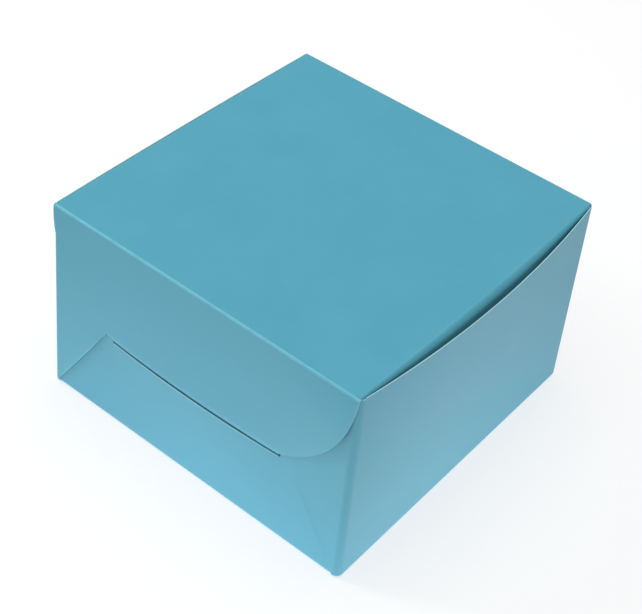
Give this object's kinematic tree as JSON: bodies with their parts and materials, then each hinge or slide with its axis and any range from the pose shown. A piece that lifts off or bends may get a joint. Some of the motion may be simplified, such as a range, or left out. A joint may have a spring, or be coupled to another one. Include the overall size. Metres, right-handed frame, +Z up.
{
  "type": "folding cake box",
  "caption": "Square folding paperboard takeaway box with a hinged lid, dust flaps inside its side walls, one of them bowed, and a round-ended front flap whose tongue locks in a slit.",
  "frame": {"origin": "middle of the base panel, on its underside, where the box stands on a table", "axes": "+X along the front face to its right end, +Y from the front flap back to the lid's hinge, +Z up"},
  "size_m": [0.209, 0.2056, 0.1268],
  "materials": {
    "coated_board": "satin",
    "adhesive": "satin"
  },
  "bodies": {
    "tray": {"base_panel": "coated_board", "back_wall": "coated_board", "front_wall": "coated_board", "left_wall": "coated_board", "right_wall": "coated_board", "front_left_tab": "coated_board", "front_right_tab": "coated_board", "rear_left_tab": "coated_board", "rear_right_tab": "coated_board", "front_left_glue": "adhesive", "front_right_glue": "adhesive", "rear_left_glue": "adhesive", "rear_right_glue": "adhesive"},
    "lid": {"lid_panel": "coated_board"},
    "left_flap": {"left_dust_flap": "coated_board"},
    "right_flap": {"right_dust_flap": "coated_board"},
    "tuck_flap": {"front_flap": "coated_board"}
  },
  "joints": [
    {"name": "lid_hinge", "type": "hinge", "parent": "tray", "child": "lid", "pos_m": [0, 0.0992, 0.1263], "axis": [-1, 0, 0], "range_deg": [0, 180]},
    {"name": "front_crease", "type": "hinge", "parent": "lid", "child": "tuck_flap", "pos_m": [0, -0.1005, 0.1263], "axis": [-1, 0, 0], "range_deg": [0, 90]},
    {"name": "left_crease", "type": "hinge", "parent": "lid", "child": "left_flap", "pos_m": [-0.09605, 0, 0.1263], "axis": [0, -1, 0], "range_deg": [0, 88]},
    {"name": "right_crease", "type": "hinge", "parent": "lid", "child": "right_flap", "pos_m": [0.09605, 0, 0.1263], "axis": [0, 1, 0], "range_deg": [0, 88]}
  ],
  "couplings": [
    {"joint": "front_crease", "follows": "lid_hinge", "ratio": 0.5}
  ]
}
